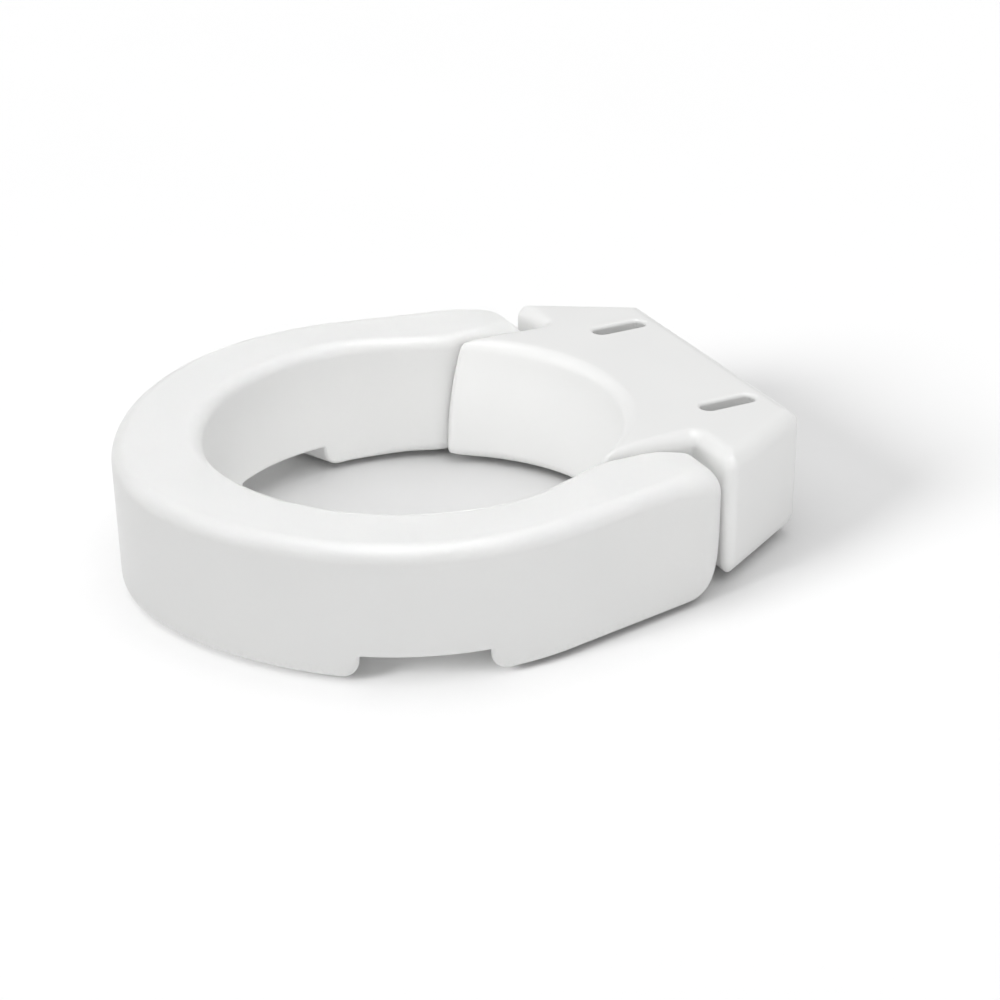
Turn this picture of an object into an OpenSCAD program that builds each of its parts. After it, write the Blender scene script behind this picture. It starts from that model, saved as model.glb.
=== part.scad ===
// Hinged raised toilet seat: a hollow horseshoe ring that lifts on two pins
// from a hollow rear block, which is bolted to the bowl through two slots.
//
// +X is to the side, +Y is to the back, +Z is up. The origin is the centre of
// the footprint, on the plane of the bowl's rim.

/* [Overall size] */
// Length from the nose of the ring to the back of the block
length = 416; // [410:1:430]
// Height of both hollow bodies, without the rubber under them
body_h = 85; // [80:1:110]
// Thickness of the rubber bumpers and pads under the bodies
rubber_h = 4; // [3:0.5:6]
// Wall thickness of the blow-moulded bodies
wall = 4; // [3:0.5:4.5]

/* [Ring outline] */
// Radius at the nose of the ring
nose_r = 132; // [130:1:134]
// Sweep of the nose arc, in degrees
nose_sweep = 15; // [14:1:16]
// Radius of the ring's front flank
flank_r = 196; // [194:1:198]
// Sweep of the flank arc, in degrees
flank_sweep = 43.5; // [43:0.5:45]
// Radius of the ring's widest stretch
side_r = 173; // [172:1:175]
// Sweep of the widest stretch, in degrees
side_sweep = 42; // [41:0.5:43]
// Plan radius at the rear corners of the arms
arm_corner_r = 19; // [16:1:22]
// Distance from the nose to the arms' end faces
arm_reach = 331; // [329:0.5:331.5]

/* [Opening] */
// Width of the ring at the nose
rim_w = 57.5; // [55:0.5:60]
// Radius at the front of the opening
mouth_r = 103.5; // [103:0.5:105]
// Sweep of the opening's front arc, in degrees
mouth_sweep = 13; // [12:1:14]
// Radius of the opening's flanks
bowl_r = 135; // [134:0.5:136]
// Sweep of the opening's flank arc, in degrees
bowl_sweep = 76; // [75:0.5:77]
// Radius where the opening starts to close in towards the arms
throat_r = 84; // [80:1:88]
// Sweep of that stretch, in degrees
throat_sweep = 22; // [20:1:23]
// Half the distance between the two arms
arm_half_gap = 105.5; // [105:0.5:107]

/* [Rounding] */
// Radius of the ring's top edges
top_r = 9.5; // [6:0.5:12]
// Radius of the block's top edges
block_r = 5; // [4:0.5:7]
// Radius of the bottom edges
foot_r = 4; // [3.5:0.5:5]
// Radius over the arms' end faces, which lets them swing past the wings
crown_r = 16; // [14:1:18]
// Radius under the arms' end faces, which lets them swing past the bowl's rim
heel_r = 21; // [19:1:24]
// Radius under the back of the block
block_heel_r = 9; // [6:0.5:9]

/* [Feet] */
// Height of the gap between the front and rear feet
gap_h = 14; // [12:1:20]
// Width of the gap, across its straight sides
gap_w = 78; // [70:1:80]
// Direction in which the gap crosses the ring, in degrees from sideways
gap_angle = -26.5; // [-30:0.5:-23]
// Radius of the foot edges at the gap
gap_r = 10.5; // [8:0.5:11]

/* [Rear block] */
// Half width of the tongue between the arms
tongue_half_w = 101; // [100:0.5:102]
// Radius of the hollow in the tongue's front
hollow_r = 113; // [111:0.5:116]
// Distance from the nose to the deepest point of that hollow
hollow_reach = 328; // [325:0.5:330]
// How far the tongue's front corners lean forward at the bottom
corner_lean = 11; // [0:0.5:14]
// How far the middle of its front leans forward at the bottom
middle_lean = 4; // [0:0.5:5]
// Distance from the nose to the wings' front faces
wing_reach = 337.5; // [337:0.1:338.5]
// Half width of the wings' front faces, to the sharp corner
wing_half_w = 145; // [142:1:148]
// Angle of the block's sides from front-to-back, in degrees
wing_taper = 30; // [27:1:33]
// Plan radius of the wings' front corners
wing_corner_r = 7.5; // [7.5:0.5:14]
// Plan radius of the block's rear corners
back_corner_r = 14; // [12:1:18]

/* [Bolt slots] */
// Distance between the two slots, which is the bowl's bolt spacing
slot_spacing = 139.7; // [138:0.1:142]
// Distance from the back of the block to the slots' centres
slot_inset = 35.5; // [33:0.5:38]
// Length of each slot, end to end
slot_l = 39; // [34:1:42]
// Width of each slot
slot_w = 11.6; // [9:0.1:13]

/* [Hinge] */
// Distance from the nose to the hinge axis
hinge_reach = 300.4; // [300:0.1:301]
// Height of the hinge axis above the bottoms of the bodies
hinge_h = 66; // [65.5:0.5:67]
// Radius of the pin
pin_r = 6; // [4:0.5:7]
// Radial running clearance of the pin in the ring
pin_play = 0.05; // [0.02:0.01:0.1]
// Radial interference of the pin in the block
pin_press = 0.03; // [0.01:0.01:0.05]
// Length of pin held in each body
pin_hold = 12; // [10:1:13]
// Thickness of the pin's collar, between the block and the arm
collar_t = 3.8; // [3:0.1:4.2]

/* [Rubber] */
// Radius of a round bumper
bumper_r = 10; // [8:0.5:12]
// Radius of the push-in stems
stem_r = 3; // [2.5:0.25:3.5]
// Width of the pad around each slot
pad_rim = 7.5; // [7:0.5:8]

/* [Hidden] */
$fn = 96;
SHELL = "whitesmoke";
PIN = "gainsboro";
RUBBER = "darkgray";
EPS = 0.01;
ARC_STEP = 70;          // an arc has its sweep times the root of its radius, over this, steps
ROUND = 4;              // steps in each round edge
OVER = 1;               // how far a cutting tool runs past the part
SOFT = 0.5;             // smallest edge radius, used inside the walls
y_nose = -length / 2;
y_back = length / 2;
z_low = rubber_h;
z_top = rubber_h + body_h;
y_arm = y_nose + arm_reach;
y_wing = y_nose + wing_reach;
y_hinge = y_nose + hinge_reach;
z_hinge = z_low + hinge_h;
boss_r = pin_r + wall;  // outside radius of the pins' sockets
y_slot = y_back - slot_inset;
y_hollow = y_nose + hollow_reach - hollow_r;

// ---- Outlines -------------------------------------------------------------
// Each body's plan lies between two half outlines, front and back, that start
// at x = 0 and run to one shared end. A half outline has a start
// [x, y, heading] and legs [radius, sweep, run]: an arc, then a straight. A
// right-hand arc has a negative radius and a negative sweep. An inset moves
// the whole outline to its left.

function left(h) = [-sin(h), cos(h)];
function ahead(h) = [cos(h), sin(h)];
function xy(s) = [s[0], s[1]];
function on_arc(s, leg, inset, sweep) =
    xy(s) + (leg[0] - inset) * (left(s[2]) - left(s[2] + sweep));
function after(s, leg, inset) = concat(
    on_arc(s, leg, inset, leg[1]) + leg[2] * ahead(s[2] + leg[1]), s[2] + leg[1]);
function stop(s, legs, inset, n) =
    n == 0 ? concat(xy(s) + inset * left(s[2]), s[2])
    : after(stop(s, legs, inset, n - 1), legs[n - 1], inset);
function arc_steps(leg) = ceil(abs(leg[1]) * sqrt(abs(leg[0])) / ARC_STEP);
function leg_points(s, leg, inset) = [
    for (k = [1:1:arc_steps(leg)]) on_arc(s, leg, inset, leg[1] * k / arc_steps(leg)),
    if (leg[2] > 0) xy(after(s, leg, inset))
];
function walk(half, inset) = [
    xy(stop(half[0], half[1], inset, 0)),
    for (n = [0:len(half[1]) - 1])
        each leg_points(stop(half[0], half[1], inset, n), half[1][n], inset)
];

// Heights and insets of the layers of a solid with round edges, bottom to top.
function round_layers(z0, z1, r0, r1, inset) = [
    for (k = [ROUND:-1:0]) let (a = 90 * k / ROUND)
        [z0 + r0 * (1 - sin(a)), inset + r0 * (1 - cos(a))],
    for (k = [0:ROUND]) let (a = 90 * k / ROUND)
        [z1 - r1 * (1 - sin(a)), inset + r1 * (1 - cos(a))]
];

// One layer's whole outline, anticlockwise from above. lean says how far a
// point moves forward at a height.
function layer(front, back, at, lean) =
    let (
        f = walk(front, at[1]),
        b = walk(back, -at[1]),
        plan = concat(f, [for (j = [len(b) - 2:-1:0]) b[j]]),
        half = [for (p = plan) p - [0, lean(p, at[0])]]
    )
    [
        for (p = half) [p[0], p[1], at[0]],
        for (i = [len(half) - 2:-1:1]) [-half[i][0], half[i][1], at[0]]
    ];

// The back point that faces front point i. The waist is the pair of points
// where the facing changes pace.
function facing(i, n, m, waist) =
    i <= waist[0] ? round(i * waist[1] / waist[0])
    : waist[1] + round((i - waist[0]) * (m - waist[1]) / (n - waist[0]));

// Triangles between the front and back halves, anticlockwise from above.
function cap(n, m, waist, front_at, back_at) = [
    for (i = [1:n]) let (j0 = facing(i - 1, n, m, waist), j1 = facing(i, n, m, waist)) each [
        [front_at(i - 1), front_at(i), back_at(j0)],
        for (j = [j0:1:j1 - 1]) if (!(i == n && j == m - 1))
            [front_at(i), back_at(j + 1), back_at(j)]
    ]
];
function backwards(faces) = [for (f = faces) [f[2], f[1], f[0]]];
function raised(faces, by) = [for (f = faces) [f[0] + by, f[1] + by, f[2] + by]];

// A solid between two half outlines and their mirror images, with round edges.
module round_solid(front, back, waist, z0, z1, r0, r1, inset, lean) {
    loops = [for (at = round_layers(z0, z1, r0, r1, inset)) layer(front, back, at, lean)];
    size = len(loops[0]);
    n = len(walk(front, 0)) - 1;
    m = len(walk(back, 0)) - 1;
    right = cap(n, m, waist, function (i) i, function (j) n + m - j);
    left = backwards(cap(n, m, waist,
        function (i) (size - i) % size, function (j) n + m + j));
    level = concat(right, left);
    polyhedron([for (p = loops) each p], concat(
        level,
        [for (k = [0:len(loops) - 2], i = [0:size - 1])
            let (a = k * size + i, b = k * size + (i + 1) % size)
            each [[a, a + size, b + size], [a, b + size, b]]],
        raised(backwards(level), (len(loops) - 1) * size)
    ));
}

module both_sides() {
    children();
    mirror([1, 0, 0]) children();
}

// ---- Ring -----------------------------------------------------------------

arm_fillet_r = 40;      // where the opening meets the arms' inner faces
arm_tip_r = 12.5;       // plan radius of the arms' inner rear corners
arm_mid_x = arm_half_gap + 20;

ring_start = [0, y_nose, 0];
ring_turn = nose_sweep + flank_sweep + side_sweep;
ring_arcs = [[nose_r, nose_sweep, 0], [flank_r, flank_sweep, 0], [side_r, side_sweep, 0]];
ring_side = stop(ring_start, ring_arcs, 0, 3);
arm_run = (y_arm - arm_corner_r * (1 + cos(ring_turn)) - ring_side[1]) / sin(ring_turn);
arm_back_x = ring_side[0] + arm_run * cos(ring_turn) - arm_corner_r * sin(ring_turn);
ring_outer = [ring_start, [
    ring_arcs[0], ring_arcs[1], [side_r, side_sweep, arm_run],
    [arm_corner_r, 180 - ring_turn, arm_back_x - arm_mid_x]
]];

open_start = [0, y_nose + rim_w, 0];
open_turn = mouth_sweep + bowl_sweep + throat_sweep;
open_arcs = [[mouth_r, mouth_sweep, 0], [bowl_r, bowl_sweep, 0], [throat_r, throat_sweep, 0]];
throat = stop(open_start, open_arcs, 0, 3);
throat_run = (arm_half_gap + arm_fillet_r * (1 - sin(open_turn)) - throat[0]) / cos(open_turn);
fillet_end_y = throat[1] + throat_run * sin(open_turn) - arm_fillet_r * cos(open_turn);
ring_inner = [open_start, [
    open_arcs[0], open_arcs[1], [throat_r, throat_sweep, throat_run],
    [-arm_fillet_r, 90 - open_turn, y_arm - arm_tip_r - fillet_end_y],
    [-arm_tip_r, -90, arm_mid_x - arm_half_gap - arm_tip_r]
]];
// The last two points of each half lie on the arm's end face.
ring_waist = [len(walk(ring_outer, 0)) - 2, len(walk(ring_inner, 0)) - 3];

gap_mid = -5;           // distance of the gap's middle line from the origin, to its left
gap_near = 60;          // the cut runs along that line from here
gap_far = 230;          // to here

// One end of a foot gap's section, drawn as [into the foot, up].
module gap_end(inset) {
    translate([-OVER, z_low - OVER]) square([inset + OVER, gap_h + inset + OVER]);
    difference() {
        translate([-OVER, z_low - OVER]) square([gap_r + OVER, gap_r + OVER]);
        translate([gap_r, z_low + gap_r]) circle(gap_r - inset);
    }
}

// The gap between the front and the rear foot on the right.
module foot_gap(inset) rotate(gap_angle) translate([gap_near, gap_mid, 0])
    rotate([90, 0, 90]) linear_extrude(gap_far - gap_near) {
        translate([-gap_w / 2, z_low - OVER]) square([gap_w, gap_h + inset + OVER]);
        translate([gap_w / 2, 0]) gap_end(inset);
        translate([-gap_w / 2, 0]) mirror([1, 0]) gap_end(inset);
    }

// What a body loses along a straight back edge that is rounded by r. up is 1
// for its top edge and -1 for its bottom edge.
module back_edge(y, z, r, up, inset) translate([0, y - r, z - up * r])
    rotate([90, 0, 90]) linear_extrude(length, center = true) difference() {
        scale([1, up]) square(r + OVER);
        circle(r - inset);
    }

// The ring's outside, or with an inset its hollow.
module ring_form(inset) difference() {
    round_solid(ring_outer, ring_inner, ring_waist, z_low + inset, z_top - inset,
        max(foot_r - inset, SOFT), top_r - inset, inset, function (p, z) 0);
    both_sides() foot_gap(inset);
    back_edge(y_arm, z_top, crown_r, 1, inset);
    back_edge(y_arm, z_low, heel_r, -1, inset);
}

module seat_ring() color(SHELL) difference() {
    union() {
        difference() {
            ring_form(0);
            ring_form(wall);
        }
        both_sides() translate([arm_half_gap + OVER, y_hinge, z_hinge]) rotate([0, 90, 0])
            cylinder(h = pin_hold + wall - OVER, r = boss_r);
    }
    both_sides() translate([arm_half_gap - OVER, y_hinge, z_hinge]) rotate([0, 90, 0])
        cylinder(h = pin_hold + OVER, r = pin_r + pin_play);
    both_sides() for (at = [front_bumper, rear_bumper])
        translate([at[0], at[1], z_low - OVER]) cylinder(h = wall + 2 * OVER, r = stem_r);
}

// ---- Rear block -----------------------------------------------------------

tongue_corner_r = block_r + SOFT;
notch_r = 3;            // inside corner between the tongue and the wing
tip_x = tongue_half_w - tongue_corner_r;
tip_reach = hollow_r + tongue_corner_r;
tip_turn = asin(tip_x / tip_reach);
tip_y = y_hollow + tip_reach * cos(tip_turn);
wing_turn = 90 + wing_taper;
wing_cut = wing_corner_r * tan(wing_turn / 2);
back_cut = back_corner_r * tan((180 - wing_turn) / 2);
side_l = (y_back - y_wing) / cos(wing_taper);
back_half_w = wing_half_w - (y_back - y_wing) * tan(wing_taper);
block_front = [[0, y_hollow + hollow_r, 0], [
    [-hollow_r, -tip_turn, 0],
    [tongue_corner_r, 90 + tip_turn, y_wing - notch_r - tip_y],
    [-notch_r, -90, wing_half_w - wing_cut - tongue_half_w - notch_r]
]];
block_back = [[0, y_back, 0], [
    [0, 0, back_half_w - back_cut],
    [-back_corner_r, wing_turn - 180, side_l - wing_cut - back_cut],
    [-wing_corner_r, -wing_turn, 0]
]];
// The tongue and the notch face the back edge; the wing's front faces the rest.
block_waist = [len(walk(block_front, 0)) - 2, 3];

module at_slots() for (side = [-1, 1]) translate([side * slot_spacing / 2, y_slot, 0])
    children();

// A straight-sided slot, with its ends rounded, from z0 to z1.
module slot(z0, z1, grow) {
    r = slot_w / 2 + grow;
    run = slot_l - slot_w;
    for (end = [-1, 1]) translate([0, end * run / 2, z0]) cylinder(h = z1 - z0, r = r);
    translate([-r, -run / 2, z0]) cube([2 * r, run, z1 - z0]);
}

// How far a point of the tongue's front leans forward at a height.
function tongue_lean(p, z) = p[1] > y_wing - 2 * notch_r ? 0
    : (z_top - z) / body_h
        * (middle_lean + (corner_lean - middle_lean) * pow(p[0] / tongue_half_w, 2));

// The block's outside, or with an inset its hollow.
module block_form(inset) difference() {
    round_solid(block_front, block_back, block_waist, z_low + inset, z_top - inset,
        max(foot_r - inset, SOFT), max(block_r - inset, SOFT), inset,
        function (p, z) tongue_lean(p, z));
    back_edge(y_back, z_low, block_heel_r, -1, inset);
    at_slots() slot(z_low - OVER, z_top + OVER, inset);
}

module hinge_block() color(SHELL) difference() {
    union() {
        difference() {
            block_form(0);
            block_form(wall);
        }
        both_sides() translate([tongue_half_w - OVER, y_hinge, z_hinge]) rotate([0, -90, 0])
            cylinder(h = pin_hold, r = boss_r);
    }
    both_sides() translate([tongue_half_w + OVER, y_hinge, z_hinge]) rotate([0, -90, 0])
        cylinder(h = pin_hold + OVER, r = pin_r);
    at_slots() for (end = [-1, 1])
        translate([0, end * pad_stem_y, z_low - OVER]) cylinder(h = wall + 2 * OVER, r = stem_r);
}

// ---- Hinge pins -----------------------------------------------------------

collar_r = boss_r - 1;
pin_gap = 0.5;          // end float of the pin in its socket
pin_tip = 1;            // chamfer at both ends of the pin

// One pin, drawn along its axis from the block outwards.
module pin() color(PIN) translate([tongue_half_w, y_hinge, z_hinge]) rotate([0, 90, 0]) {
    reach = arm_half_gap - tongue_half_w + pin_hold - pin_gap;
    translate([0, 0, -pin_hold + pin_gap + pin_tip])
        cylinder(h = pin_hold - pin_gap - pin_tip, r = pin_r + pin_press);
    translate([0, 0, -pin_hold + pin_gap])
        cylinder(h = pin_tip, r1 = pin_r - pin_tip, r2 = pin_r + pin_press);
    cylinder(h = collar_t, r = collar_r);
    cylinder(h = reach - pin_tip, r = pin_r);
    translate([0, 0, reach - pin_tip]) cylinder(h = pin_tip, r1 = pin_r, r2 = pin_r - pin_tip);
}

module hinge_pin_right() pin();
module hinge_pin_left() mirror([1, 0, 0]) pin();

// ---- Rubber ---------------------------------------------------------------

barb_l = 5;             // length of the head on a push-in stem
barb_lip = 1;           // how far that head is wider than its stem
barb_gap = 0.3;         // between that head and the wall
stem_press = 0.05;      // radial squeeze on a stem
bumper_edge = 1.5;      // chamfer at the bottom of a bumper
front_bumper = [74, y_nose + 46];
rear_bumper = [134, y_arm - 61.5];
pad_clear = 1;          // the pad's own slot is wider than the block's
pad_stem_y = slot_l / 2 + pad_rim / 2;

module stem() translate([0, 0, rubber_h - EPS]) {
    cylinder(h = wall + barb_gap + 2 * EPS, r = stem_r + stem_press);
    translate([0, 0, wall + barb_gap + EPS])
        cylinder(h = barb_l, r1 = stem_r + barb_lip, r2 = stem_r - barb_lip);
}

module bumper(at) color(RUBBER) translate([at[0], at[1], 0]) {
    translate([0, 0, bumper_edge]) cylinder(h = rubber_h - bumper_edge, r = bumper_r);
    cylinder(h = bumper_edge, r1 = bumper_r - bumper_edge, r2 = bumper_r);
    stem();
}

module bumper_front_right() bumper(front_bumper);
module bumper_front_left() mirror([1, 0, 0]) bumper(front_bumper);
module bumper_rear_right() bumper(rear_bumper);
module bumper_rear_left() mirror([1, 0, 0]) bumper(rear_bumper);

module slot_pad(side) color(RUBBER) translate([side * slot_spacing / 2, y_slot, 0]) {
    difference() {
        slot(0, rubber_h, pad_rim);
        slot(-OVER, rubber_h + OVER, pad_clear);
    }
    for (end = [-1, 1]) translate([0, end * pad_stem_y, 0]) stem();
}

module slot_pad_right() slot_pad(1);
module slot_pad_left() slot_pad(-1);

// ---- Parts ----------------------------------------------------------------

seat_ring();
hinge_block();
hinge_pin_left();
hinge_pin_right();
bumper_front_left();
bumper_front_right();
bumper_rear_left();
bumper_rear_right();
slot_pad_left();
slot_pad_right();
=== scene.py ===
"""A hinged raised toilet seat in blow-moulded white plastic, on a plain white floor.

Lengths in the outlines are millimetres; mesh vertices are metres. +X is to the
side, +Y is to the back, +Z is up.
"""

import math

import bpy
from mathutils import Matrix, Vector, geometry


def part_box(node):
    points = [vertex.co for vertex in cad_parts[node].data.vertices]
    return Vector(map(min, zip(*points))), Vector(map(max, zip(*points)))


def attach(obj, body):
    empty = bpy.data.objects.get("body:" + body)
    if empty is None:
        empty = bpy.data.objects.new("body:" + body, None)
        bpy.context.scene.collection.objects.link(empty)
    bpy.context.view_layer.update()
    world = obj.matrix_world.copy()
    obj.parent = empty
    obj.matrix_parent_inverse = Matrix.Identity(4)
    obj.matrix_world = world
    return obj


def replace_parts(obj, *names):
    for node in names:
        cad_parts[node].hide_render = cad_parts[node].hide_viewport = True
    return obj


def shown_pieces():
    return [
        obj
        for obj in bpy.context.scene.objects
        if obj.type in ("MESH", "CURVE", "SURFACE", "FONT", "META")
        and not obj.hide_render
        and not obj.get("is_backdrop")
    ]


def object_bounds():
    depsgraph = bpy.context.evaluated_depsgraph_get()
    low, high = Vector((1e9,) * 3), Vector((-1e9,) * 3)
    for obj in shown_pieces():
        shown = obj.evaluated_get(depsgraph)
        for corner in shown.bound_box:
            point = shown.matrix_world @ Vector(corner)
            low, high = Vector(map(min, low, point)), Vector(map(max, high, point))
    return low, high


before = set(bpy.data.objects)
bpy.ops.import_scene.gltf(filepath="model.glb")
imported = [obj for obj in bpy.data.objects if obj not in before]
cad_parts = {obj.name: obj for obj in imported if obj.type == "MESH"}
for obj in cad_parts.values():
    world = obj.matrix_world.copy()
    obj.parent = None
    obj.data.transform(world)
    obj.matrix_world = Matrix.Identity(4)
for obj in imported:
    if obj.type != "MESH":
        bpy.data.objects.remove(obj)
cad_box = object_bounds()

MM = 0.001

# ---- Sizes taken from the frame --------------------------------------------


def box_mm(node):
    low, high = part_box(node)
    return low / MM, high / MM


ring_low, ring_high = box_mm("seat_ring")
block_high = box_mm("hinge_block")[1]
pin_low, pin_high = box_mm("hinge_pin_right")
pad_low, pad_high = box_mm("slot_pad_right")
Y_NOSE = ring_low.y
Y_ARM = ring_high.y
Y_BACK = block_high.y
Z_LOW = ring_low.z
Z_TOP = ring_high.z
Y_HINGE = (pin_low.y + pin_high.y) / 2
Z_HINGE = (pin_low.z + pin_high.z) / 2
SLOT_X = (pad_low.x + pad_high.x) / 2
SLOT_Y = (pad_low.y + pad_high.y) / 2

# ---- Sizes of the looks ----------------------------------------------------

ARM_HALF_GAP = 105.5        # half the distance between the two arms
TONGUE_HALF_W = 101
ARM_MID_X = 130             # where the two halves of an arm's end face meet
WING_Y = Y_NOSE + 337.5     # front face of the wings
WING_MID_X = 118            # where the block's two half outlines meet on that face
WING_HALF_W = 145
WING_TAPER = math.radians(30)
WING_TIP_R = 6
HOLLOW_R = 115.5            # the hollow in the tongue's front, at the top
HOLLOW_Y = Y_NOSE + 212.5   # its centre
CORNER_LEAN = 12.3          # how far the tongue's corners lean forward at the bottom
MIDDLE_LEAN = 4             # and the middle of its front
LEAN_CURVE = 2.3            # how strongly the lean is drawn towards the top

RING_TOP_R = 10.4           # top edge on the ring's outside
OPENING_TOP_R = 8.6         # top edge round the opening
CROWN_R = 15                # top edge over the arms' end faces
CROWN_RUN = 30              # where the arms' tops curve down towards them
CROWN_DROP = 7              # and how far
CROWN_BLEND = 26            # the top radius grows to it over this length before the corner
RING_FOOT_R = 3
ARM_FOOT_R = 8              # lower edge along the arms' inner faces
HEEL_R = 28                 # lower edge under the arms' end faces
BLOCK_TOP_R = 8
BACK_TOP_R = 12.5
WING_TOP_R = 10.5
BLOCK_FOOT_R = 8
WING_FOOT_R = 12            # lower edge of the wings' front and tip
BACK_FOOT_R = 4             # lower edge of the block's back
BLOCK_HEEL_R = 13           # lower edge from the block's rear corners to the wings' sides
TIGHTEST_R = 1.5            # smallest plan radius left by an inset
OPENING_DRAFT = 7           # how much narrower the opening is at the bottom, on each side
OUTSIDE_DRAFT = 1.8         # how far the ring's nose leans in at the bottom
SIDE_FLARE = 0.2            # how far its sides lean out there
FLARE_FROM = 100            # places along the outside between which one becomes the other
FLARE_TO = 190
FLARE_END = 40              # both fade away over this length before the arm's corner
THROAT_BEFORE = 20          # the opening's draft fades from this far before its throat
THROAT_AFTER = 60           # to this far after it
ARM_FOOT_FROM = 20          # the arms' lower edge grows from this far after it, to the same place
ARM_BULGE = 2.2             # how far the arms' end faces bulge
BULGE_LOW = 8               # heights above the underside between which the bulge grows
BULGE_HIGH = 40

BORE_R = 6.15               # the pins' sockets in the arms
PIN_R = 6
COLLAR_R = 9
COLLAR_T = 3.8
STEM_R = 3.05               # push-in stems of the rubber parts
BARB_R = 4
BARB_Z = 8.3                # lower end of their heads
BUMPER_R = 10
PAD_SLOT_GROW = 1           # the pads' own slots are wider than the block's

FLAG_R = 120                # a disc in the opening that shades the floor
FLAG_Y = -26
FLAG_Z = 84

GAP_H = 14.2                # the gaps between the front and the rear foot
# The direction in which the right gap crosses the ring
GAP_ACROSS = math.radians(-26.5)
GAP_FROM = -43.9            # its two sides, as distances from the origin
GAP_TO = 33.9
GAP_FOOT_R = 10.8           # foot's corner at the gap
GAP_ROOF_R = 1              # inside corner under the gap's roof

SLOT_L = 39
SLOT_W = 11.6
SLOT_EDGE_R = 2.6
SLOT_FOOT_R = 1.2

COLUMN_STEP = 3.5           # spacing of the mesh columns along an outline
ARC_STEP = math.radians(9)  # and their largest turn on a tight arc
EDGE_STEPS = 10             # steps round each rounded edge
WALL_STEPS = 8              # steps up the plain part of a wall
CAP_STEPS = 8               # quads from the outside to the opening
FILL_STEP = 7               # spacing of the points that fill the block's flat faces

# ---- Plan outlines ---------------------------------------------------------


def left(heading):
    return Vector((-math.sin(heading), math.cos(heading)))


def ahead(heading):
    return Vector((math.cos(heading), math.sin(heading)))


class Arc:
    """A plan arc: it turns left for a positive radius and sweep, right for negative ones."""

    def __init__(self, start, heading, radius, sweep):
        self.radius = radius
        self.heading = heading
        self.sweep = sweep
        self.centre = start + radius * left(heading)
        self.length = abs(radius * sweep)
        self.turn = sweep
        self.end_heading = heading + sweep
        self.end = self.centre - radius * left(self.end_heading)

    def at(self, share, shift, cuts):
        """The point at a share of the arc, moved to its left by shift, with its ends cut short."""
        radius = self.radius - shift
        run = abs(self.sweep * radius)
        along = cuts[0] + (run - cuts[0] - cuts[1]) * share
        heading = self.heading + self.sweep * along / run
        return self.centre - radius * left(heading)

    def corner_at(self, share, shift, excess):
        """As at(), for a tight corner whose radius has run out by excess."""
        side = math.copysign(1, self.radius)
        middle = self.heading + self.sweep / 2
        centre = self.centre + side * left(middle) * excess / math.cos(self.sweep / 2)
        return centre - side * TIGHTEST_R * left(self.heading + self.sweep * share)


class Line:
    """A straight stretch of a plan outline."""

    def __init__(self, start, heading, length):
        self.start = start
        self.heading = heading
        self.length = length
        self.turn = 0
        self.end_heading = heading
        self.end = start + length * ahead(heading)

    def at(self, share, shift, cuts):
        along = cuts[0] + (self.length - cuts[0] - cuts[1]) * share
        return self.start + along * ahead(self.heading) + shift * left(self.heading)


class Half:
    """Half of a body's plan, from x = 0 to its last point, with the material on one side of it.

    side is 1 with the material on the left and -1 with it on the right. A place on the outline
    is its distance along the outline without an inset.
    """

    def __init__(self, start, side, legs):
        self.side = side
        self.parts = []
        self.starts = []
        point, heading, length = Vector(start), 0, 0
        for radius, sweep, run in legs:
            for part in (Arc, Line):
                if part is Arc and sweep:
                    made = Arc(point, heading, radius, sweep)
                elif part is Line and run:
                    made = Line(point, heading, run)
                else:
                    continue
                self.parts.append(made)
                self.starts.append(length)
                length += made.length
                point, heading = made.end, made.end_heading
        self.length = length

    def excess(self, index, inset):
        """How far the inset goes past what a convex corner's radius allows."""
        if not 0 < index < len(self.parts) - 1 or not isinstance(self.parts[index], Arc):
            return 0
        part = self.parts[index]
        if part.radius * self.side < 0:
            return 0
        return max(0, inset - abs(part.radius) + TIGHTEST_R)

    def cut(self, index, inset):
        """How much a tight corner at index shortens both its neighbours."""
        if not 0 <= index < len(self.parts):
            return 0
        return self.excess(index, inset) * math.tan(abs(self.parts[index].turn) / 2)

    def at(self, place, inset):
        index = max(i for i, s in enumerate(self.starts) if s <= max(place, 0))
        part = self.parts[index]
        share = (place - self.starts[index]) / part.length
        excess = self.excess(index, inset)
        if excess:
            return part.corner_at(share, self.side * inset, excess)
        cuts = (self.cut(index - 1, inset), self.cut(index + 1, inset))
        return part.at(share, self.side * inset, cuts)

    def places(self, first, last, count=None):
        """Places from first to last, one on each joint between parts, close together on arcs."""
        marks = [first] + [s for s in self.starts if first < s < last] + [last]
        if count:
            steps = self.shared_steps(marks, count)
        else:
            steps = [self.steps(a, b) for a, b in zip(marks, marks[1:])]
        found = [first]
        for a, b, n in zip(marks, marks[1:], steps):
            found += [a + (b - a) * k / n for k in range(1, n + 1)]
        return found

    def steps(self, first, last):
        part = self.parts[max(i for i, s in enumerate(self.starts) if s <= first + 1e-6)]
        turned = abs(part.turn) * (last - first) / part.length
        return max(1, math.ceil((last - first) / COLUMN_STEP), math.ceil(turned / ARC_STEP))

    def shared_steps(self, marks, count):
        """Steps per stretch that add up to count, near to what steps() asks for."""
        wanted = [self.steps(a, b) for a, b in zip(marks, marks[1:])]
        share = [max(1, round(w * count / sum(wanted))) for w in wanted]
        share[share.index(max(share))] += count - sum(share)
        return share


def crossing(half, distance):
    """The place where a half outline crosses a line along the foot gap, at a distance from the
    origin."""
    low, high = 0, half.starts[-2]
    for _ in range(60):
        middle = (low + high) / 2
        if half.at(middle, 0).dot(left(GAP_ACROSS)) < distance:
            low = middle
        else:
            high = middle
    return low


def turns(*degrees):
    return [math.radians(d) for d in degrees]


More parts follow.
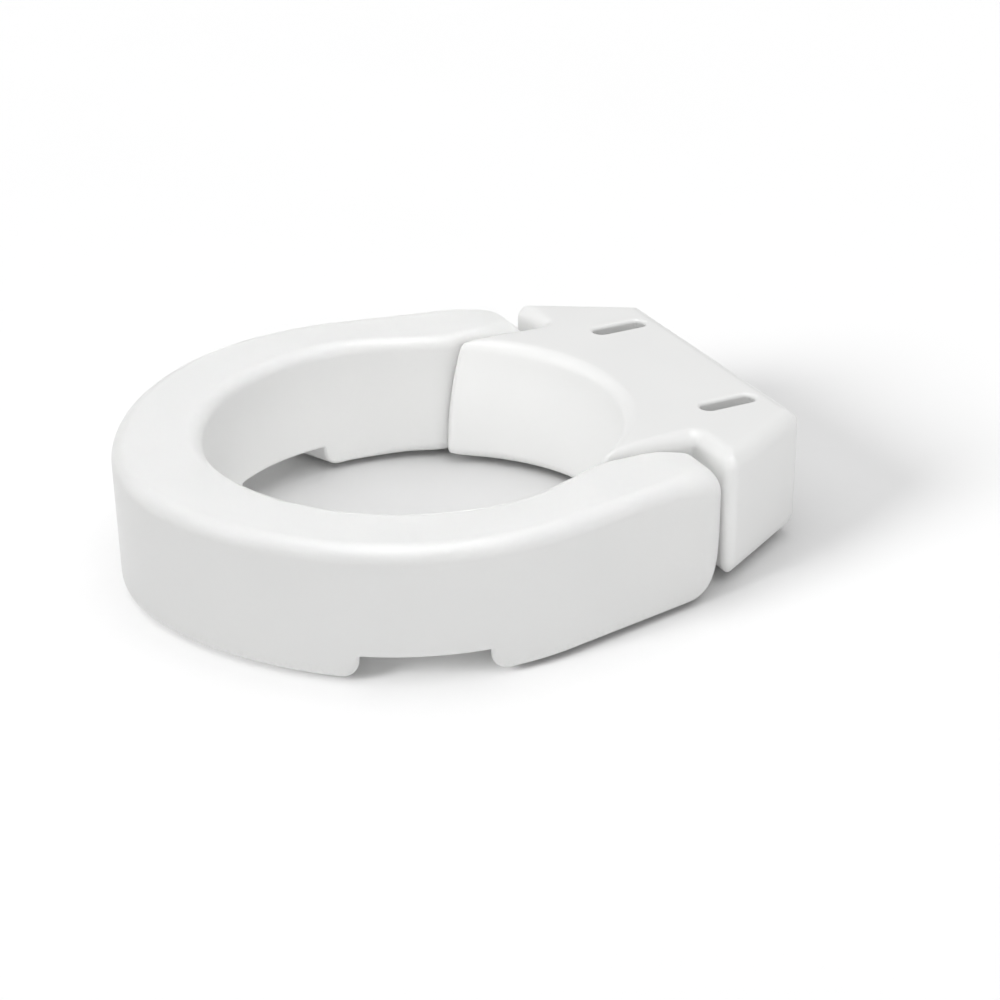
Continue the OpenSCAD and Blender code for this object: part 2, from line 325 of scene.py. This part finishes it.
def ring_outside():
    """The ring's outside: nose, flank, widest stretch, straight arm, rear corner, end face."""
    corner_r = 19
    nose, flank, side = turns(15, 43.5, 42)
    start = (0, Y_NOSE)
    turned = nose + flank + side
    arcs = Half(start, 1, [(132, nose, 0), (196, flank, 0), (173, side, 0)])
    last = arcs.parts[-1].end
    arm = (Y_ARM - corner_r * (1 + math.cos(turned)) - last.y) / math.sin(turned)
    end_x = last.x + arm * math.cos(turned) - corner_r * math.sin(turned)
    return Half(start, 1, [
        (132, nose, 0), (196, flank, 0), (173, side, arm),
        (corner_r, math.pi - turned, end_x - ARM_MID_X),
    ])


def ring_opening():
    """The opening: mouth, bowl, throat, fillet into the arm's inner face, rear corner, end face."""
    fillet_r, tip_r = 40, 12.5
    mouth, bowl, throat = turns(13, 76, 22)
    start = (0, Y_NOSE + 57.5)
    turned = mouth + bowl + throat
    arcs = Half(start, -1, [(103.5, mouth, 0), (135, bowl, 0), (84, throat, 0)])
    last = arcs.parts[-1].end
    run = (ARM_HALF_GAP + fillet_r * (1 - math.sin(turned)) - last.x) / math.cos(turned)
    arm_from = last.y + run * math.sin(turned) - fillet_r * math.cos(turned)
    quarter = math.pi / 2
    return Half(start, -1, [
        (103.5, mouth, 0), (135, bowl, 0), (84, throat, run),
        (-fillet_r, quarter - turned, Y_ARM - tip_r - arm_from),
        (-tip_r, -quarter, ARM_MID_X - ARM_HALF_GAP - tip_r),
    ])


def block_front():
    """The block's front: the tongue's hollow, its corner, its side, the notch, the wing's face."""
    corner_r, notch_r = 3, 3
    turn = math.asin((TONGUE_HALF_W - corner_r) / (HOLLOW_R + corner_r))
    tip_y = HOLLOW_Y + (HOLLOW_R + corner_r) * math.cos(turn)
    quarter = math.pi / 2
    return Half((0, HOLLOW_Y + HOLLOW_R), 1, [
        (-HOLLOW_R, -turn, 0),
        (corner_r, quarter + turn, WING_Y - notch_r - tip_y),
        (-notch_r, -quarter, WING_MID_X - TONGUE_HALF_W - notch_r),
    ])


def block_back():
    """The block's back edge, its rear corner, the wing's side, its tip and its front face."""
    corner_r = 10
    quarter = math.pi / 2
    tip_turn = quarter + WING_TAPER
    tip_cut = WING_TIP_R * math.tan(tip_turn / 2)
    corner_cut = corner_r * math.tan((math.pi - tip_turn) / 2)
    depth = Y_BACK - WING_Y
    back_half_w = WING_HALF_W - depth * math.tan(WING_TAPER)
    side = depth / math.cos(WING_TAPER) - tip_cut - corner_cut
    return Half((0, Y_BACK), -1, [
        (0, 0, back_half_w - corner_cut),
        (-corner_r, tip_turn - math.pi, side),
        (-WING_TIP_R, -tip_turn, WING_HALF_W - tip_cut - WING_MID_X),
    ])


# ---- Meshes ----------------------------------------------------------------


class Skin:
    """A mesh under construction, whose points are shared where they meet."""

    def __init__(self):
        self.points = []
        self.faces = []
        self.known = {}

    def point(self, x, y, z):
        key = (round(x, 4), round(y, 4), round(z, 4))
        if key not in self.known:
            self.known[key] = len(self.points)
            self.points.append((x * MM, y * MM, z * MM))
        return self.known[key]

    def face(self, *corners):
        kept = [c for i, c in enumerate(corners) if c != corners[i - 1]]
        if len(set(kept)) == len(kept) > 2:
            self.faces.append(kept)

    def band(self, lower, upper, closed=False):
        """Quads between two rows of points. Seen from outside, the rows run to the right."""
        n = len(lower)
        for i in range(n if closed else n - 1):
            j = (i + 1) % n
            self.face(lower[i], lower[j], upper[j], upper[i])

    def grid(self, rows):
        for lower, upper in zip(rows, rows[1:]):
            self.band(lower, upper)

    def mesh(self, name):
        made = bpy.data.meshes.new(name)
        made.from_pydata(self.points, [], self.faces)
        made.validate()
        return made

    def made(self, name, body, material, slot, sharp=40, bores=None):
        mesh = bored(self.mesh(name), bores.mesh(name + "_bores")) if bores else self.mesh(name)
        mesh.materials.clear()
        mesh.materials.append(material)
        mesh.polygons.foreach_set("use_smooth", [True] * len(mesh.polygons))
        mesh.set_sharp_from_angle(angle=math.radians(sharp))
        piece = bpy.data.objects.new(name, mesh)
        bpy.context.scene.collection.objects.link(piece)
        even = piece.modifiers.new("even_shading", "WEIGHTED_NORMAL")
        even.keep_sharp = True
        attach(piece, body)
        return piece


def bored(mesh, bores):
    """The mesh with the closed shapes in bores cut out of it."""
    solid = bpy.data.objects.new("solid", mesh)
    tool = bpy.data.objects.new("tool", bores)
    for thing in (solid, tool):
        bpy.context.scene.collection.objects.link(thing)
    cut = solid.modifiers.new("cut", "BOOLEAN")
    cut.operation = "DIFFERENCE"
    cut.solver = "EXACT"
    cut.object = tool
    graph = bpy.context.evaluated_depsgraph_get()
    made = bpy.data.meshes.new_from_object(solid.evaluated_get(graph))
    made.name = mesh.name
    for thing in (solid, tool):
        bpy.data.objects.remove(thing)
    return made


def softened(corners, size):
    """A polyline whose corners are rounded off."""
    found = [corners[0]]
    for before, corner, after in zip(corners, corners[1:], corners[2:]):
        middle = Vector(corner)
        first = middle + (Vector(before) - middle).normalized() * size
        last = middle + (Vector(after) - middle).normalized() * size
        for k in range(5):
            t = k / 4
            found.append(first * (1 - t) ** 2 + middle * 2 * t * (1 - t) + last * t * t)
    return found + [corners[-1]]


def turned(skin, origin, along, section, steps=48):
    """A round shape about an axis through origin. section gives (radius, distance) along it."""
    across = Vector((0, 1, 0)) if abs(along.x) > 0.5 else Vector((1, 0, 0))
    third = along.cross(across)
    rows = []
    for radius, distance in section:
        row = []
        for k in range(steps):
            angle = 2 * math.pi * k / steps
            out = across * math.cos(angle) + third * math.sin(angle)
            row.append(skin.point(*(origin + along * distance + out * radius)))
        rows.append(row)
    for lower, upper in zip(rows, rows[1:]):
        skin.band(lower, upper, closed=True)


def edge_rows(radius, steps=EDGE_STEPS):
    """(inset, drop) pairs round an edge, from the flat face's rim to the wall."""
    found = []
    for k in range(steps, -1, -1):
        angle = math.pi / 2 * k / steps
        found.append((radius * (1 - math.cos(angle)), radius * (1 - math.sin(angle))))
    return found


def smooth(value, first, last):
    share = min(1, max(0, (value - first) / (last - first)))
    return share * share * (3 - 2 * share)


class Column:
    """One column of a body's wall.

    place is where it stands on the half outline, foot the height of its lower end, and lean the
    direction in which the underside faces away from the floor, as (along the outline, up).
    """

    def __init__(self, place, foot=Z_LOW, lean=(0, 1)):
        self.place = place
        self.foot = foot
        self.lean = lean


def wall(half, column, foot_r, top_r, draft):
    """Plan points and heights of one column, from the underside's rim up to the top face's rim.

    draft gives how far a point at a height moves, as (into the material, towards +Y).
    """
    levels = []
    for inset, up in edge_rows(foot_r):
        levels.append((column.place + up * column.lean[0], inset,
                       column.foot + up * column.lean[1]))
    low, high = levels[-1][2], Z_TOP - top_r
    for k in range(1, WALL_STEPS):
        levels.append((column.place, 0, low + (high - low) * k / WALL_STEPS))
    for inset, down in reversed(edge_rows(top_r)):
        levels.append((column.place, inset, Z_TOP - down))
    found = []
    for place, inset, z in levels:
        inward, back = draft(place, z)
        at = half.at(place, inset + inward)
        found.append((at.x, at.y + back, z))
    return found


def fall(z):
    """0 at the top face and 1 at the underside."""
    return (Z_TOP - z) / (Z_TOP - Z_LOW)


def mirrored(points):
    return [(-x, y, z) for x, y, z in points]


# ---- Ring ------------------------------------------------------------------


def gap_end(half, side, sign):
    """Columns at one side of a foot gap, from the foot into the gap. sign is 1 at the front."""
    found = []
    for k in range(EDGE_STEPS + 1):
        angle = math.pi / 2 * k / EDGE_STEPS
        found.append(Column(
            crossing(half, side + sign * GAP_FOOT_R * (math.sin(angle) - 1)),
            Z_LOW + GAP_FOOT_R * (1 - math.cos(angle)),
            (-sign * math.sin(angle), math.cos(angle))))
    for k in range(1, 4):
        angle = math.pi / 2 * (1 - k / 3)
        found.append(Column(
            crossing(half, side + sign * GAP_ROOF_R * (1 - math.sin(angle))),
            Z_LOW + GAP_H - GAP_ROOF_R * (1 - math.cos(angle)),
            (-sign * math.sin(angle), math.cos(angle))))
    return found


def ring_columns(half, counts=None):
    """Columns of one half of the ring, from the nose to the middle of the arm's end face."""
    front = [crossing(half, GAP_FROM + d) for d in (-GAP_FOOT_R, GAP_ROOF_R)]
    rear = [crossing(half, GAP_TO + d) for d in (-GAP_ROOF_R, GAP_FOOT_R)]
    corner = half.starts[-2]
    spans = [
        (0, front[0]), (front[1], rear[0]), (rear[1], corner),
        (corner, half.starts[-1]), (half.starts[-1], half.length),
    ]
    runs = [half.places(a, b, n) for (a, b), n in zip(spans, counts or [None] * len(spans))]
    found = [Column(p) for p in runs[0][:-1]]
    found += gap_end(half, GAP_FROM, 1)
    found += [Column(p, Z_LOW + GAP_H) for p in runs[1][1:-1]]
    found += reversed(gap_end(half, GAP_TO, -1))
    found += [Column(p) for run in runs[2:] for p in run[1:]]
    return found, [len(run) - 1 for run in runs]


def crowned(x, y, z):
    """A point of the ring, lowered where the arms' tops curve down to their end faces."""
    past = max(0, y - Y_ARM + CROWN_RUN) / CROWN_RUN
    return x, y, z - CROWN_DROP * past ** 2 * (1 - fall(z))


def ring_wall(half, column, top_r):
    corner, face = half.starts[-2:]
    heel = smooth(column.place, corner - RING_TOP_R, face)
    foot_r = RING_FOOT_R + (HEEL_R - RING_FOOT_R) * heel
    top = top_r + (CROWN_R - top_r) * smooth(column.place, corner - CROWN_BLEND, corner)
    throat = half.starts[2]

    def draft(place, z):
        bulge = ARM_BULGE * smooth(place, corner, face) * smooth(z, Z_LOW + BULGE_LOW, Z_LOW + BULGE_HIGH)
        if half.side == 1:
            flare = OUTSIDE_DRAFT - (OUTSIDE_DRAFT + SIDE_FLARE) * smooth(place, FLARE_FROM, FLARE_TO)
            return flare * fall(z) * (1 - smooth(place, corner - FLARE_END, corner)), bulge
        upright = smooth(place, throat - THROAT_BEFORE, throat + THROAT_AFTER)
        return -OPENING_DRAFT * fall(z) * (1 - upright), bulge

    if half.side == -1:
        arm = smooth(column.place, throat + ARM_FOOT_FROM, throat + THROAT_AFTER)
        foot_r += (ARM_FOOT_R - RING_FOOT_R) * arm * (1 - heel)
    return [crowned(*p) for p in wall(half, column, foot_r, top, draft)]


def across(skin, outside, inside, rim):
    """Rows of points over a flat face, from the outside's rim to the opening's."""
    rows = []
    for k in range(CAP_STEPS + 1):
        share = k / CAP_STEPS
        row = []
        for a, b in zip(outside, inside):
            x, y, _ = Vector(a[rim]).lerp(Vector(b[rim]), share)
            row.append(skin.point(x, y, a[rim][2] + (b[rim][2] - a[rim][2]) * share))
        rows.append(row)
    return rows


def seat_ring(material):
    outer, opening = ring_outside(), ring_opening()
    columns, counts = ring_columns(outer)
    inner_columns, inner_counts = ring_columns(opening)
    counts = [max(a, b) for a, b in zip(counts, inner_counts)]
    columns, _ = ring_columns(outer, counts)
    inner_columns, _ = ring_columns(opening, counts)
    outside = [ring_wall(outer, c, RING_TOP_R) for c in columns]
    inside = [ring_wall(opening, c, OPENING_TOP_R) for c in inner_columns]
    skin = Skin()
    for flip in (False, True):
        shown = [mirrored(w) if flip else w for w in outside]
        facing = [mirrored(w) if flip else w for w in inside]
        out_rows = list(zip(*[[skin.point(*p) for p in w] for w in shown]))
        in_rows = list(zip(*[[skin.point(*p) for p in w] for w in facing]))
        top = across(skin, shown, facing, -1)
        under = across(skin, shown, facing, 0)
        for rows, opposite in (
                (out_rows, False), (in_rows, True), (top, False), (under, True)):
            rows = rows[::-1] if opposite != flip else rows
            skin.grid(rows)
    bores = Skin()
    reach = pin_high.x - ARM_HALF_GAP + 0.5
    section = [(0, -1), (BORE_R, -1), (BORE_R, reach), (0, reach)]
    for side in (-1, 1):
        turned(bores, Vector((side * ARM_HALF_GAP, Y_HINGE, Z_HINGE)), Vector((side, 0, 0)), section)
    return skin.made("ring_shell", "ring", material, "shell_plastic", bores=bores)


# ---- Rear block ------------------------------------------------------------


def slot_outline(grow, centre_x):
    """Points round a bolt slot, or round one that has grown on all sides."""
    r = SLOT_W / 2 + grow
    run = (SLOT_L - SLOT_W) / 2
    steps = 16
    found = []
    for end in (1, -1):
        for k in range(steps + 1):
            angle = math.pi * k / steps + (0 if end == 1 else math.pi)
            found.append((centre_x + r * math.cos(angle), SLOT_Y + end * run + r * math.sin(angle)))
        for k in (1, 2, 3):
            y = SLOT_Y + end * run * (1 - k / 2)
            found.append((centre_x - end * r, y))
    return found


def in_slot(point, grow):
    for side in (-1, 1):
        run = (SLOT_L - SLOT_W) / 2
        nearest = min(max(point[1], SLOT_Y - run), SLOT_Y + run)
        if math.hypot(point[0] - side * SLOT_X, point[1] - nearest) < SLOT_W / 2 + grow:
            return True
    return False


def filled(skin, rim, z, grow, up):
    """A flat face inside a rim, with the bolt slots left open."""
    loops = [[(x, y) for x, y in rim]]
    loops += [slot_outline(grow, side * SLOT_X) for side in (-1, 1)]
    points, edges = [], []
    for loop in loops:
        first = len(points)
        points += [Vector(p) for p in loop]
        edges += [(first + i, first + (i + 1) % len(loop)) for i in range(len(loop))]
    margin = FILL_STEP * 0.55
    low_y, high_y = min(p[1] for p in rim), max(p[1] for p in rim)
    high_x = max(p[0] for p in rim)
    row, y = 0, low_y + margin
    while y < high_y:
        x = -high_x + FILL_STEP / 2 * (row % 2)
        while x < high_x:
            near = min(math.hypot(p[0] - x, p[1] - y) for p in rim)
            if near > margin and not in_slot((x, y), grow + margin):
                points.append(Vector((x, y)))
            x += FILL_STEP
        row, y = row + 1, y + FILL_STEP * math.sqrt(0.75)
    outline = [list(range(len(rim)))]
    made = geometry.delaunay_2d_cdt(points, edges, outline, 1, 1e-5)
    for triangle in made[2]:
        corners = [made[0][i] for i in triangle]
        middle = sum(corners, Vector((0, 0))) / 3
        if in_slot(middle, grow - 0.05):
            continue
        ids = [skin.point(c.x, c.y, z) for c in (corners if up else reversed(corners))]
        skin.face(*ids)


def front_wall(half, place):
    """One column of the tongue's front or side, or of the wing's front."""
    corner, side, notch = half.starts[1:4]
    wing = smooth(place, side, notch)
    foot_r = BLOCK_FOOT_R + (WING_FOOT_R - BLOCK_FOOT_R) * wing
    top_r = BLOCK_TOP_R + (WING_TOP_R - BLOCK_TOP_R) * wing

    def draft(at, z):
        across = min(1, half.at(min(at, side), 0).x / TONGUE_HALF_W) ** 2
        lean = MIDDLE_LEAN + (CORNER_LEAN - MIDDLE_LEAN) * across
        return 0, -lean * (1 - (1 - fall(z)) ** LEAN_CURVE) * (1 - smooth(at, side, notch))

    return wall(half, Column(place), foot_r, top_r, draft)


def back_wall(half, place):
    """One column of the block's back edge, its rear corner, the wing's side or its front."""
    corner, side, tip = half.starts[1:4]
    top_r = BACK_TOP_R + (WING_TOP_R - BACK_TOP_R) * smooth(place, corner, side)
    heel = smooth(place, corner - BLOCK_HEEL_R, corner)
    foot_r = BACK_FOOT_R + (BLOCK_HEEL_R - BACK_FOOT_R) * heel
    foot_r += (WING_FOOT_R - foot_r) * smooth(place, side, tip)
    return wall(half, Column(place), foot_r, top_r, lambda at, z: (0, 0))


def hinge_block(material):
    front, back = block_front(), block_back()
    front_places = front.places(0, front.length)
    back_places = back.places(0, back.length)
    front_half = [front_wall(front, p) for p in front_places]
    back_half = [back_wall(back, p) for p in back_places]
    right = front_half + back_half[-2::-1]
    around = right + [mirrored(w) for w in right[-2:0:-1]]
    skin = Skin()
    rows = list(zip(*[[skin.point(*p) for p in w] for w in around]))
    for lower, upper in zip(rows, rows[1:]):
        skin.band(lower, upper, closed=True)
    filled(skin, [w[-1][:2] for w in around], Z_TOP, SLOT_EDGE_R, True)
    filled(skin, [w[0][:2] for w in around], Z_LOW, SLOT_FOOT_R, False)
    for side in (-1, 1):
        levels = [(i, Z_TOP - d) for i, d in edge_rows(SLOT_EDGE_R, 6)]
        levels += [(i, Z_LOW + d) for i, d in reversed(edge_rows(SLOT_FOOT_R, 4))]
        loops = []
        for grow, z in levels:
            loops.append([skin.point(x, y, z) for x, y in slot_outline(grow, side * SLOT_X)])
        for upper, lower in zip(loops, loops[1:]):
            skin.band(upper, lower, closed=True)
    return skin.made("block_shell", "block", material, "shell_plastic")


# ---- Pins and rubber -------------------------------------------------------


def hinge_pin(node, material):
    low, high = box_mm(node)
    side = math.copysign(1, low.x + high.x)
    inner, outer = sorted((abs(low.x), abs(high.x)))
    start, end = inner - TONGUE_HALF_W, outer - TONGUE_HALF_W
    skin = Skin()
    turned(skin, Vector((side * TONGUE_HALF_W, Y_HINGE, Z_HINGE)), Vector((side, 0, 0)), softened([
        (0, start), (PIN_R, start), (PIN_R, 0), (COLLAR_R, 0), (COLLAR_R, COLLAR_T),
        (PIN_R, COLLAR_T), (PIN_R, end), (0, end),
    ], 0.6))
    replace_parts(skin.made(node.replace("hinge_", ""), "block", material, "pin_plastic"), node)


def stem(skin, x, y, z, top):
    turned(skin, Vector((x, y, 0)), Vector((0, 0, 1)), softened([
        (0, z), (STEM_R, z), (STEM_R, BARB_Z), (BARB_R, BARB_Z), (BARB_R / 2, top), (0, top),
    ], 0.3), 32)


def bumper(node, material):
    """A round bumper with a dimple in its underside and a push-in stem."""
    low, high = box_mm(node)
    middle = (low + high) / 2
    skin = Skin()
    turned(skin, Vector((middle.x, middle.y, 0)), Vector((0, 0, 1)), softened([
        (0, 0.9), (3.4, 0.9), (4.6, 0), (BUMPER_R, 0), (BUMPER_R, Z_LOW), (0, Z_LOW),
    ], 0.55))
    stem(skin, middle.x, middle.y, Z_LOW - 0.5, high.z)
    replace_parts(skin.made(node.replace("bumper_", "foot_"), "ring", material, "grey_rubber"), node)


def slot_pad(node, material):
    """A flat pad round a bolt slot, held by two push-in stems."""
    low, high = box_mm(node)
    x = (low.x + high.x) / 2
    grow = (high.x - low.x - SLOT_W) / 2
    skin = Skin()
    section = softened([
        (PAD_SLOT_GROW, Z_LOW), (PAD_SLOT_GROW, 0), (grow, 0), (grow, Z_LOW),
    ], 0.8)
    loops = [[skin.point(*p, z) for p in slot_outline(g, x)] for g, z in section]
    for lower, upper in zip(loops, loops[1:] + loops[:1]):
        skin.band(lower, upper, closed=True)
    reach = (high.y - low.y) / 2 - (grow - PAD_SLOT_GROW) / 2
    for end in (-1, 1):
        stem(skin, x, SLOT_Y + end * reach, Z_LOW - 0.5, high.z)
    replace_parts(skin.made(node.replace("slot_", "rest_"), "block", material, "grey_rubber"), node)


# ---- Materials -------------------------------------------------------------


def node(tree, kind, **inputs):
    made = tree.nodes.new(kind)
    for name, value in inputs.items():
        made.inputs[name.replace("_", " ")].default_value = value
    return made


def noise(tree, place, scale, detail=3.0):
    made = node(tree, "ShaderNodeTexNoise", Scale=scale, Detail=detail, Roughness=0.55)
    tree.links.new(place.outputs["Object"], made.inputs["Vector"])
    return made


def ramp(tree, source, low, high, first, last):
    """A value or colour that goes from first to last as the source goes from low to high."""
    made = tree.nodes.new("ShaderNodeMapRange")
    made.clamp = True
    made.inputs["From Min"].default_value = low
    made.inputs["From Max"].default_value = high
    made.inputs["To Min"].default_value = first
    made.inputs["To Max"].default_value = last
    tree.links.new(source, made.inputs["Value"])
    return made.outputs["Result"]


def mix(tree, share, first, last):
    made = tree.nodes.new("ShaderNodeMix")
    made.data_type = "RGBA"
    for socket, value in ((6, first), (7, last)):
        if isinstance(value, tuple):
            made.inputs[socket].default_value = (*value, 1)
        else:
            tree.links.new(value, made.inputs[socket])
    tree.links.new(share, made.inputs[0])
    return made.outputs[2]


def moulded(name, colour, shade, rough, grain, grain_size, scuff):
    """A moulded plastic or rubber: its colour drifts slightly, it has a fine grain, and its
    lower parts are scuffed."""
    material = bpy.data.materials.new(name)
    material.use_nodes = True
    tree = material.node_tree
    surface = tree.nodes["Principled BSDF"]
    place = tree.nodes.new("ShaderNodeTexCoord")
    drift = noise(tree, place, 9, 2)
    speck = noise(tree, place, 420, 4)
    skin = noise(tree, place, 1 / (grain_size * MM), 3)
    wave = noise(tree, place, 28, 2)
    tint = mix(tree, ramp(tree, drift.outputs["Fac"], 0.35, 0.65, 0, 1), colour, shade)
    split = tree.nodes.new("ShaderNodeSeparateXYZ")
    tree.links.new(place.outputs["Object"], split.inputs["Vector"])
    low = ramp(tree, split.outputs["Z"], (Z_LOW + 9) * MM, (Z_LOW + 1) * MM, 0, 1)
    worn = tree.nodes.new("ShaderNodeMath")
    worn.operation = "MULTIPLY"
    tree.links.new(low, worn.inputs[0])
    tree.links.new(ramp(tree, speck.outputs["Fac"], 0.5, 0.62, 0, scuff), worn.inputs[1])
    dull = tuple(c * 0.82 for c in shade)
    tint = mix(tree, worn.outputs[0], tint, dull)
    tree.links.new(tint, surface.inputs["Base Color"])
    gloss = ramp(tree, wave.outputs["Fac"], 0.3, 0.7, rough - 0.05, rough + 0.05)
    more = tree.nodes.new("ShaderNodeMath")
    more.operation = "ADD"
    tree.links.new(gloss, more.inputs[0])
    tree.links.new(worn.outputs[0], more.inputs[1])
    tree.links.new(more.outputs[0], surface.inputs["Roughness"])
    fine = node(tree, "ShaderNodeBump", Strength=0.35, Distance=grain * MM)
    tree.links.new(skin.outputs["Fac"], fine.inputs["Height"])
    broad = node(tree, "ShaderNodeBump", Strength=0.5, Distance=0.25 * MM)
    tree.links.new(wave.outputs["Fac"], broad.inputs["Height"])
    tree.links.new(fine.outputs["Normal"], broad.inputs["Normal"])
    tree.links.new(broad.outputs["Normal"], surface.inputs["Normal"])
    surface.inputs["IOR"].default_value = 1.47
    return material


def white_shell():
    return moulded("shell_plastic", (0.9, 0.9, 0.892), (0.885, 0.887, 0.88),
                   rough=0.36, grain=0.03, grain_size=0.9, scuff=0.25)


def pin_plastic():
    return moulded("pin_plastic", (0.78, 0.78, 0.77), (0.75, 0.75, 0.74),
                   rough=0.3, grain=0.02, grain_size=0.6, scuff=0)


def grey_rubber():
    return moulded("grey_rubber", (0.33, 0.33, 0.33), (0.29, 0.29, 0.3),
                   rough=0.66, grain=0.08, grain_size=0.5, scuff=0.2)


# ---- Floor, light and camera -----------------------------------------------


FLOOR_HALF = 6.0            # half the floor's width, in metres


def floor():
    mesh = bpy.data.meshes.new("floor")
    half, low = FLOOR_HALF, cad_box[0].z
    corners = [(-half, -half), (half, -half), (half, half), (-half, half)]
    mesh.from_pydata([(x, y, low) for x, y in corners], [], [(0, 1, 2, 3)])
    material = bpy.data.materials.new("floor_white")
    material.use_nodes = True
    tree = material.node_tree
    surface = tree.nodes["Principled BSDF"]
    place = tree.nodes.new("ShaderNodeTexCoord")
    drift = noise(tree, place, 3, 2)
    tint = mix(tree, drift.outputs["Fac"], (0.925, 0.925, 0.925), (0.91, 0.91, 0.91))
    tree.links.new(tint, surface.inputs["Base Color"])
    surface.inputs["Roughness"].default_value = 0.9
    surface.inputs["Specular IOR Level"].default_value = 0.1
    mesh.materials.append(material)
    made = bpy.data.objects.new("floor", mesh)
    bpy.context.scene.collection.objects.link(made)
    made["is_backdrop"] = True
    return made


def flag(body):
    """A studio flag: a disc in the ring's opening that shades the floor from some lights."""
    mesh = bpy.data.meshes.new("flag")
    steps = 64
    outline = [2 * math.pi * k / steps for k in range(steps)]
    points = [(FLAG_R * math.cos(a), FLAG_Y + FLAG_R * math.sin(a), FLAG_Z) for a in outline]
    mesh.from_pydata([[c * MM for c in p] for p in points], [], [range(steps)])
    made = bpy.data.objects.new("flag", mesh)
    made.visible_camera = False
    made.visible_diffuse = False
    made.visible_glossy = False
    bpy.context.scene.collection.objects.link(made)
    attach(made, body)
    made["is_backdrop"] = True
    return made


def linked(name, things):
    group = bpy.data.collections.new(name)
    for thing in things:
        group.objects.link(thing)
    return group


def placed(name, lamp, lit, flag_passed):
    """A lamp that lights only the objects in lit, and that flag_passed, if given, doesn't block."""
    made = bpy.data.objects.new(name, lamp)
    bpy.context.scene.collection.objects.link(made)
    made.light_linking.receiver_collection = linked(name + "_lights", lit)
    if flag_passed:
        group = linked(name + "_passes", [flag_passed])
        group.collection_objects[0].light_linking.link_state = "EXCLUDE"
        made.light_linking.blocker_collection = group
    return made


def soft_light(name, towards, strength, softness, lit, flag_passed=None):
    """A distant light in the direction towards, softness degrees across."""
    lamp = bpy.data.lights.new(name, "SUN")
    lamp.energy = strength
    lamp.angle = math.radians(softness)
    made = placed(name, lamp, lit, flag_passed)
    made.rotation_mode = "QUATERNION"
    made.rotation_quaternion = Vector(towards).to_track_quat("Z", "Y")


def bounce_light(place, strength, radius, lit, flag_passed):
    """A weak lamp in the opening, for the light that the pale floor throws back."""
    lamp = bpy.data.lights.new("bounce", "POINT")
    lamp.energy = strength
    lamp.shadow_soft_size = radius
    lamp.specular_factor = 0
    made = placed("bounce", lamp, lit, flag_passed)
    made.location = place


def lighting(ground, things, ring, block):
    shade = flag("ring")
    soft_light("overhead", (0.1, -0.05, 1), 1.95, 44, things, shade)
    soft_light("front_overhead", (0.1, -0.05, 1), 0.42, 44, [ring], shade)
    soft_light("ring_side", (1, 0, 0.2), 0.12, 60, [ring], shade)
    soft_light("block_side", (0.9, -0.4, 0.15), 0.6, 60, [block], shade)
    soft_light("hollow", (-0.5, -1, 0.5), 0.5, 40, [block], shade)
    bounce_light((0, 0.01, 0.05), 0.1, 0.03, things, shade)
    soft_light("floor_fill", (-0.05, -0.05, 1), 0.7, 90, [ground], shade)
    soft_light("floor_flagged", (-0.05, -0.05, 1), 0.85, 90, [ground])
    soft_light("floor_key", (0.13, -1, 0.5), 2.3, 22, [ground])
    world = bpy.data.worlds.new("studio")
    world.use_nodes = True
    background = world.node_tree.nodes["Background"]
    background.inputs["Color"].default_value = (1, 1, 1, 1)
    background.inputs["Strength"].default_value = 0.28
    bpy.context.scene.world = world
    bpy.context.scene.view_settings.view_transform = "Standard"


CAMERA_AZIMUTH = math.radians(62.75)
CAMERA_ELEVATION = math.radians(26.44)
CAMERA_DISTANCE = 1.6187
CAMERA_AIM = Vector((0.03757, 0.026, 0.03824))
CAMERA_LENS = 92.2
SENSOR_WIDTH = 36


def camera():
    lens = bpy.data.cameras.new("camera")
    lens.lens = CAMERA_LENS
    lens.sensor_width = SENSOR_WIDTH
    made = bpy.data.objects.new("camera", lens)
    flat = math.cos(CAMERA_ELEVATION)
    back = Vector((
        math.sin(CAMERA_AZIMUTH) * flat, -math.cos(CAMERA_AZIMUTH) * flat,
        math.sin(CAMERA_ELEVATION)))
    made.location = CAMERA_AIM + back * CAMERA_DISTANCE
    made.rotation_mode = "QUATERNION"
    made.rotation_quaternion = back.to_track_quat("Z", "Y")
    bpy.context.scene.collection.objects.link(made)
    bpy.context.scene.camera = made


# ---- The object ------------------------------------------------------------

shell = white_shell()
rubber = grey_rubber()
pins = pin_plastic()
block = hinge_block(shell)
ring = seat_ring(shell)
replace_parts(ring, "seat_ring")
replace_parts(block, "hinge_block")
for side in ("left", "right"):
    hinge_pin("hinge_pin_" + side, pins)
    bumper("bumper_front_" + side, rubber)
    bumper("bumper_rear_" + side, rubber)
    slot_pad("slot_pad_" + side, rubber)

lighting(floor(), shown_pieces(), ring, block)
camera()
